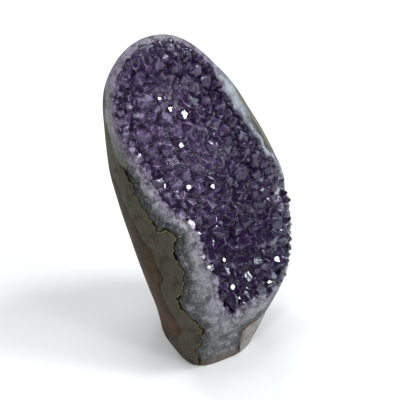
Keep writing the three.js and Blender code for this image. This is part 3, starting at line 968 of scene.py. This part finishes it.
def amethyst_finish():
    """Clear violet quartz, clouded by wisps, paler at the upper left, partly milky and partly a painted
    sheen, and darker at the lower right, with painted shade low between the crystals and painted lit faces.
    """
    clear = {"Base_Color": shade(214, 190, 236), "Transmission_Weight": 1.0, "IOR": 1.54}
    finish = Finish("amethyst", Specular_Tint=(0.84, 0.95, 1.0, 1), **clear)
    rise, tone, worn = finish.value("rise"), finish.value("tone"), finish.value("worn")
    facet, margin = finish.value("facet"), finish.value("margin")
    cloud = finish.noise(120, 5, 0.6)
    zones = finish.noise(330, 5, 0.65)
    wisps = finish.noise(620, 5, 0.75)
    specks = finish.noise(1700, 3, 0.75)
    across = finish.along("X") + (cloud - 0.5) * 30
    high = finish.along("Z") + (cloud - 0.5) * 30
    # Paler at the upper left: partly milky quartz, partly a painted sheen of reflected light.
    milky_and_sheen_part = high.rising(60, 92) * (1 - high.rising(124, 140) * 0.5) * (1 - across.rising(-12, 22))
    dark_part = (1 - high.rising(80, 110)) * across.rising(-12, 10)
    left_part = (1 - across.rising(-14, 2)) * high.rising(30, 50) * (1 - high.rising(100, 118))
    low_part = 1 - high.rising(30, 44)
    top_part = finish.along("Z").rising(122, 140)
    rim = 1 - (margin + (cloud - 0.5) * 5 - left_part * 3 - low_part * 2.5 + top_part * 2).rising(0.3, 3.2)
    cut = finish.value("cut")
    ground = cut.rising(0.4, 0.6) * (1 - cut.rising(1.4, 1.6))
    feet = cut.rising(2.4, 2.6) * (1 - cut.rising(3.4, 3.6))
    body = (tone * 0.5 + facet * 0.3 + rise.rising(-0.2, 1.1) * 0.3).rising(0.1, 0.95)
    pale = finish.blend(body, shade(62, 40, 80), shade(136, 114, 156))
    dark = finish.blend(body, shade(14, 2, 32), shade(68, 36, 100))
    colour = finish.blend(body, shade(32, 9, 56), shade(98, 64, 128))
    colour = finish.blend(milky_and_sheen_part * 0.8, colour, pale)
    colour = finish.blend(dark_part * 0.7, colour, dark)
    colour = finish.blend((1 - zones).rising(0.48, 0.62) * 0.5, colour, shade(26, 6, 50))
    colour = finish.blend(wisps.rising(0.46, 0.62) * 0.45, colour, shade(146, 122, 166))
    colour = finish.blend(specks.rising(0.58, 0.68) * 0.45, colour, shade(196, 182, 212))
    # Painted light: here and there a whole face is lighter, as a face that catches the light.
    painted_lit_facets = facet.rising(0.78, 0.84) * zones.rising(0.4, 0.6) * rise.rising(-0.2, 0.3)
    colour = finish.blend(painted_lit_facets * 0.6, colour, shade(184, 174, 204))
    # Painted shade: dark low in the crystals and on the feet, where shade falls between them.
    painted_crevice_shade = (1 - rise.rising(-0.7, 0.22)) * (0.9 - milky_and_sheen_part * 0.3)
    colour = finish.blend(painted_crevice_shade, colour, shade(10, 2, 22))
    colour = finish.blend(rim * 0.8, colour, rim_mosaic(finish, wisps))
    colour = finish.blend(worn * wisps.rising(0.35, 0.6) * 0.3, colour, shade(184, 174, 200))
    # The crystals that glint have a hue of 0 and are left smooth.
    plain = facet.rising(0, 0.2)
    satin = facet.rising(0.4, 0.6) * 0.06
    rough = wisps.rising(0.35, 0.65) * plain * 0.12 + satin + rim * 0.25 + ground * 0.3 + 0.02
    relief = (wisps + specks * 0.3) * (plain * 0.75 + feet * 4 + 0.25)
    bumps = finish.bump(relief, 0.08, 0.5)
    finish.feed(Roughness=rough, Normal=bumps)
    cloudy = 0.2 + wisps.rising(0.46, 0.62) * 0.24 + milky_and_sheen_part * 0.18 - dark_part * 0.06
    cloudy = cloudy + worn * 0.12 + rim + ground * 0.5
    finish.cloud_over(cloudy, Base_Color=colour, Roughness=rough, Normal=bumps)
    violet = {"Color": (0.42, 0.12, 0.66, 1), "Density": 220.0}
    absorption = finish.node("ShaderNodeVolumeAbsorption", {}, violet)
    result = finish.tree.nodes["Material Output"]
    finish.tree.links.new(absorption.socket, result.inputs["Volume"])
    return finish.material


dress(crust, amethyst_finish(), "amethyst_crystals", smooth_to=12)

# Floor and light
# A broad, plain pale floor, a key lamp that the faces of the crystals glint in, two softer lamps
# and a ring of nine small ones all round, at three heights.
WORLD_LIGHT = 0.1
LAMP_COLOUR = (0.95, 0.98, 1.0)
RING_BREADTH, RING_POWERS = 12, (0.1, 0.3, 0.65)
floor = start(bpy.ops.mesh.primitive_plane_add, size=6)
floor.name = "floor"
floor_finish = Finish("floor", Base_Color=(0.8, 0.8, 0.8, 1), Roughness=0.8)
floor.data.materials.append(floor_finish.material)

world = bpy.data.worlds.new("studio")
world.use_nodes = True
background = world.node_tree.nodes["Background"]
background.inputs["Color"].default_value = (1, 1, 1, 1)
background.inputs["Strength"].default_value = WORLD_LIGHT
bpy.context.scene.world = world


def lamp(name, direction, breadth, power):
    """A distant lamp, as many degrees across as its breadth."""
    data = bpy.data.lights.new(name, "SUN")
    data.angle = math.radians(breadth)
    data.energy = power
    data.color = LAMP_COLOUR
    made = bpy.data.objects.new(name, data)
    bpy.context.collection.objects.link(made)
    made.rotation_euler = Vector(direction).to_track_quat("Z", "Y").to_euler()


lamp("key", KEY_LAMP, 14, 0.95)
lamp("overhead", (0.1, 0.35, 1.0), 36, 1.0)
lamp("front", (0.8, -0.9, 0.7), 32, 1.1)
for number in range(9):
    turn = math.radians(20 + 40 * number)
    level = number % 3
    direction = (math.cos(turn), math.sin(turn), 0.7 + 0.25 * level)
    lamp(f"ring_{number}", direction, RING_BREADTH, RING_POWERS[level])
bpy.context.scene.view_settings.view_transform = "Standard"
